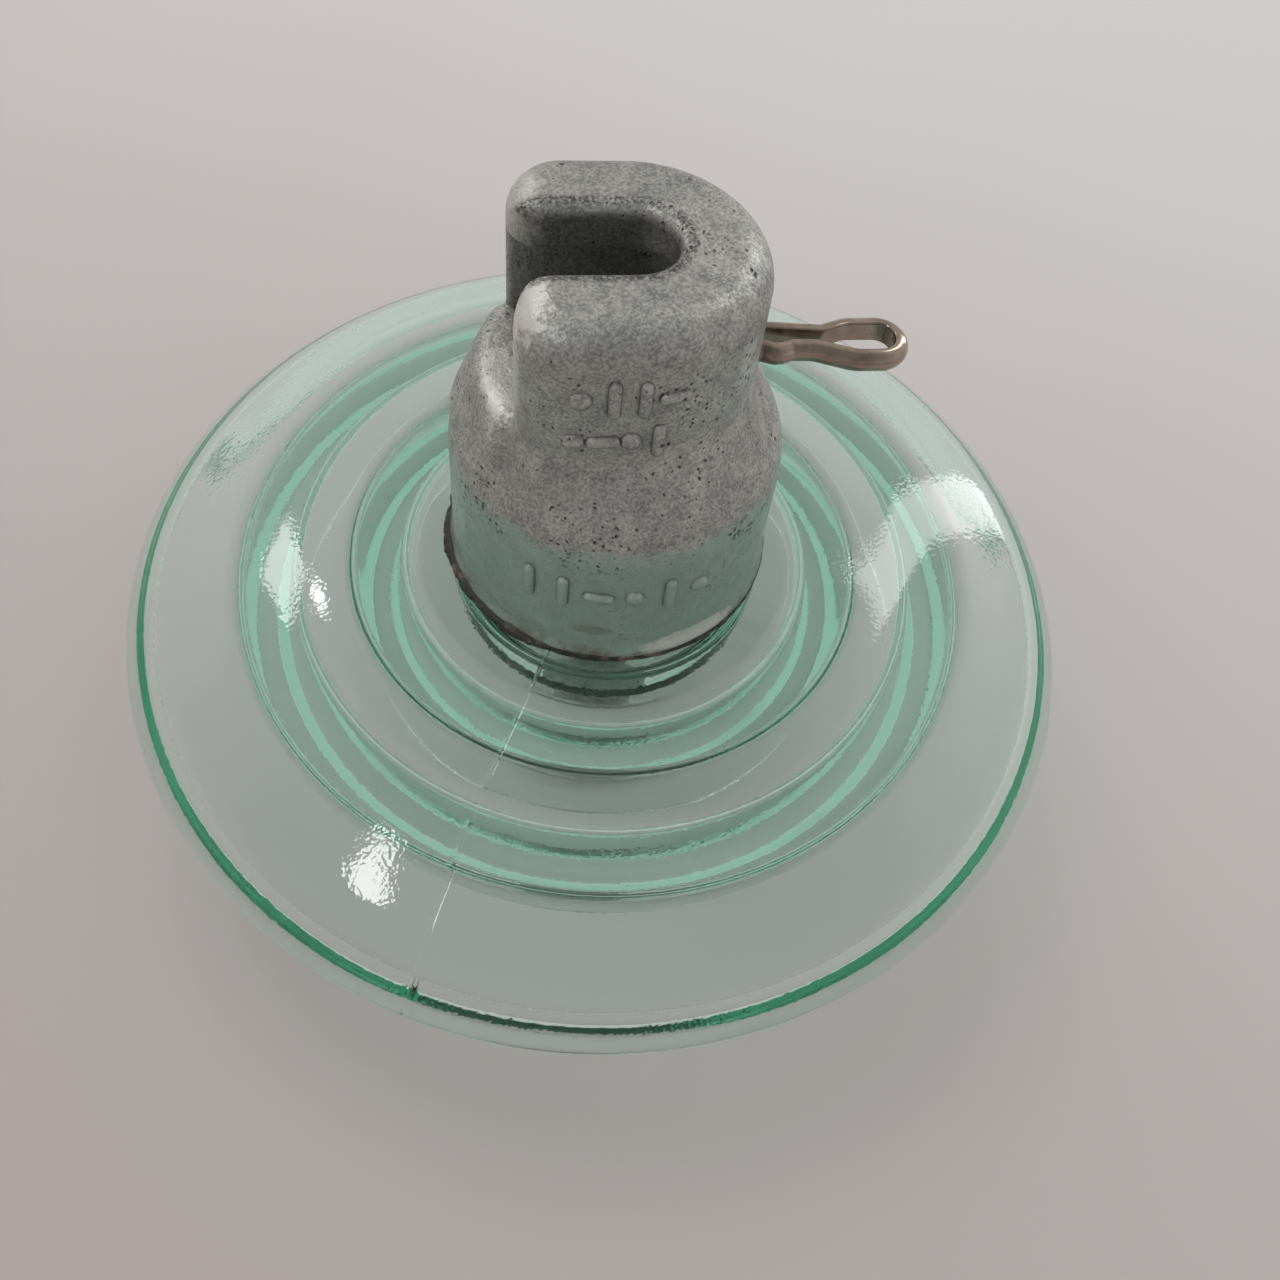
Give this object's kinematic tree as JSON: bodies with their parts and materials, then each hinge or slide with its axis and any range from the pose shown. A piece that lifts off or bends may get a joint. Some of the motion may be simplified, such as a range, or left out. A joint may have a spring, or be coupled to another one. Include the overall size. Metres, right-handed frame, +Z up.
{
  "type": "suspension disc insulator",
  "caption": "Cap-and-pin glass suspension insulator with a ball below, a socket above and a sliding split pin that locks the socket.",
  "frame": {"origin": "the lowest point of the pin's ball, on the insulator's axis, when it stands upright", "axes": "+Z up along the axis of the shell, from the ball to the cap; the mouth of the cap's socket faces -X and the split pin comes out of the cap towards +X"},
  "size_m": [0.255, 0.255, 0.1704],
  "materials": {
    "zinc_cap": "hot-dip galvanised casting, matt, weathered",
    "zinc_pin": "hot-dip galvanised forging",
    "green_glass": "toughened soda-lime glass, pale green",
    "cement": "alumina cement, matt",
    "bitumen": "bituminous coat",
    "seal": "hand-run bituminous bead, uneven",
    "cork": "cork sheet",
    "spring_wire": "D-section spring wire, bronze tinted, drawn smooth"
  },
  "bodies": {
    "insulator": {"cap": "zinc_cap", "cap_lining": "bitumen", "cap_cement": "cement", "cap_edge_seal": "seal", "head_cushion": "cork", "glass_shell": "green_glass", "pin_cushion": "cork", "pin_cement": "cement", "pin_lining": "bitumen", "pin": "zinc_pin"},
    "split_pin": {"split_pin": "spring_wire"}
  },
  "joints": [
    {"name": "split_pin_slide", "type": "slide", "parent": "insulator", "child": "split_pin", "axis": [-1, 0, 0], "range_m": [0, 0.018]}
  ]
}
